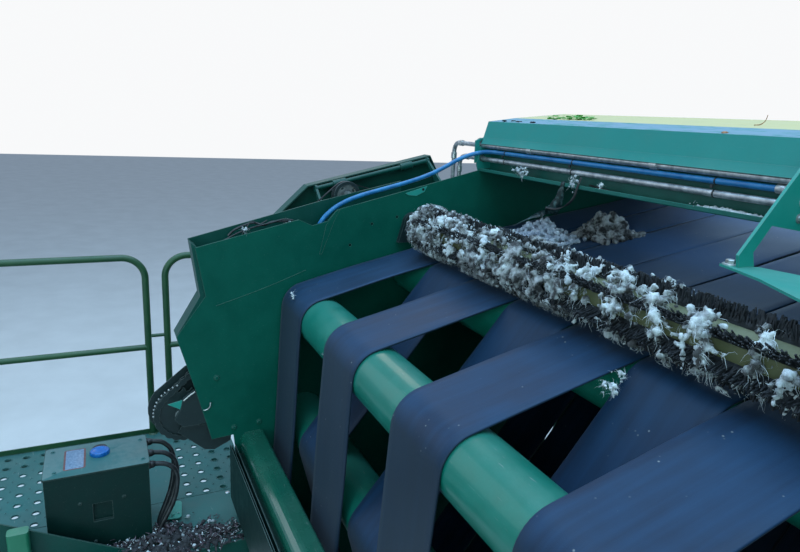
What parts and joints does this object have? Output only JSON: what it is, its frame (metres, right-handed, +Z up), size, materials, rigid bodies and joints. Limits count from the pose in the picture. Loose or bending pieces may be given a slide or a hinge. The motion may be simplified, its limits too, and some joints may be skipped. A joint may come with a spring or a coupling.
{
  "type": "cotton picker round module builder",
  "caption": "Belt baling unit of a cotton picker: side walls, flat belts over rollers, brush roll, hood, lifting rear gate, shield doors and a railed service deck.",
  "frame": {"origin": "on the floor under the middle cross beam of the base frame, midway between the side walls", "axes": "+X to the machine's right along the rollers when looking at the rear gate from the front, +Y to the rear gate, +Z up"},
  "size_m": [3.655, 4.22, 3.19],
  "materials": {
    "green_paint": "semi-gloss",
    "teal_paint": "weathered satin",
    "drum_paint": "gloss",
    "belt_rubber": "matte",
    "bare_steel": "polished by cotton",
    "zinc": "galvanized",
    "dark_steel": "satin",
    "rod_chrome": "polished",
    "brush_tube": "dusty",
    "bristle": "bristles",
    "blue_plastic": "gloss",
    "cable_rubber": "matte"
  },
  "bodies": {
    "frame": {"base_frame": "green_paint", "left_wall": "green_paint", "right_wall": "green_paint", "left_wall_outer_sheet": "green_paint", "right_wall_outer_sheet": "green_paint", "front_cross_channel": "drum_paint", "front_apron": "green_paint", "upper_rollers": "drum_paint", "front_rollers": "drum_paint", "floor_rollers": "bare_steel", "long_belts": "belt_rubber", "dive_belts": "belt_rubber", "feed_floor": "green_paint", "brush_bearings": "dark_steel", "hood_cover": "teal_paint", "hood_channel": "green_paint", "hood_end_plates": "teal_paint", "galvanized_pipes": "zinc", "pipe_fitting_block": "teal_paint", "blue_hose": "blue_plastic", "hood_bracket": "teal_paint", "curved_guide": "teal_paint", "gate_hinge_brackets": "green_paint", "drive_pulley": "dark_steel", "chain_wheels": "dark_steel", "drive_chain": "dark_steel", "chain_guard": "dark_steel", "walkway_frame": "green_paint", "walkway_deck": "teal_paint", "handrails": "green_paint", "walkway_side_plate": "green_paint", "control_box": "green_paint", "box_cap": "blue_plastic", "box_cables": "cable_rubber", "barrel_pins": "dark_steel", "shield_hinge_rails": "green_paint"},
    "brush_roll": {"brush_core": "brush_tube", "brush_bristles": "bristle"},
    "rear_gate": {"gate_sides": "green_paint", "gate_cross_tubes": "green_paint", "gate_rollers": "drum_paint", "gate_belts": "belt_rubber", "gate_apron": "green_paint"},
    "left_barrel": {"left_cylinder_barrel": "dark_steel"},
    "left_rod": {"left_cylinder_rod": "rod_chrome"},
    "right_barrel": {"right_cylinder_barrel": "dark_steel"},
    "right_rod": {"right_cylinder_rod": "rod_chrome"},
    "left_shield": {"left_shield_door": "green_paint"},
    "right_shield": {"right_shield_door": "green_paint"}
  },
  "joints": [
    {"name": "gate_hinge", "type": "hinge", "parent": "frame", "child": "rear_gate", "pos_m": [0, 0.95, 2.86], "axis": [1, 0, 0], "range_deg": [0, 60]},
    {"name": "brush_spin", "type": "hinge", "parent": "frame", "child": "brush_roll", "pos_m": [0, -0.51, 2.685], "axis": [1, 0, 0], "continuous": true},
    {"name": "left_barrel_pivot", "type": "hinge", "parent": "frame", "child": "left_barrel", "pos_m": [-1.4, -0.15, 1.8], "axis": [1, 0, 0], "range_deg": [-2, 14]},
    {"name": "left_rod_slide", "type": "slide", "parent": "left_barrel", "child": "left_rod", "axis": [0, 0.9212, 0.3891], "range_m": [0, 0.5669]},
    {"name": "left_shield_hinge", "type": "hinge", "parent": "frame", "child": "left_shield", "pos_m": [-1.455, -0.88361, 2.80755], "axis": [0, 0.972, 0.235], "range_deg": [0, 80]},
    {"name": "right_barrel_pivot", "type": "hinge", "parent": "frame", "child": "right_barrel", "pos_m": [1.4, -0.15, 1.8], "axis": [1, 0, 0], "range_deg": [-2, 14]},
    {"name": "right_rod_slide", "type": "slide", "parent": "right_barrel", "child": "right_rod", "axis": [0, 0.9212, 0.3891], "range_m": [0, 0.5669]},
    {"name": "right_shield_hinge", "type": "hinge", "parent": "frame", "child": "right_shield", "pos_m": [1.455, -0.88361, 2.80755], "axis": [0, -0.972, -0.235], "range_deg": [0, 80]}
  ],
  "couplings": [
    {"joint": "left_barrel_pivot", "follows": "gate_hinge", "ratio": 0.068185},
    {"joint": "left_rod_slide", "follows": "gate_hinge", "m_per_rad": 0.53749},
    {"joint": "right_barrel_pivot", "follows": "gate_hinge", "ratio": 0.068185},
    {"joint": "right_rod_slide", "follows": "gate_hinge", "m_per_rad": 0.53749}
  ]
}
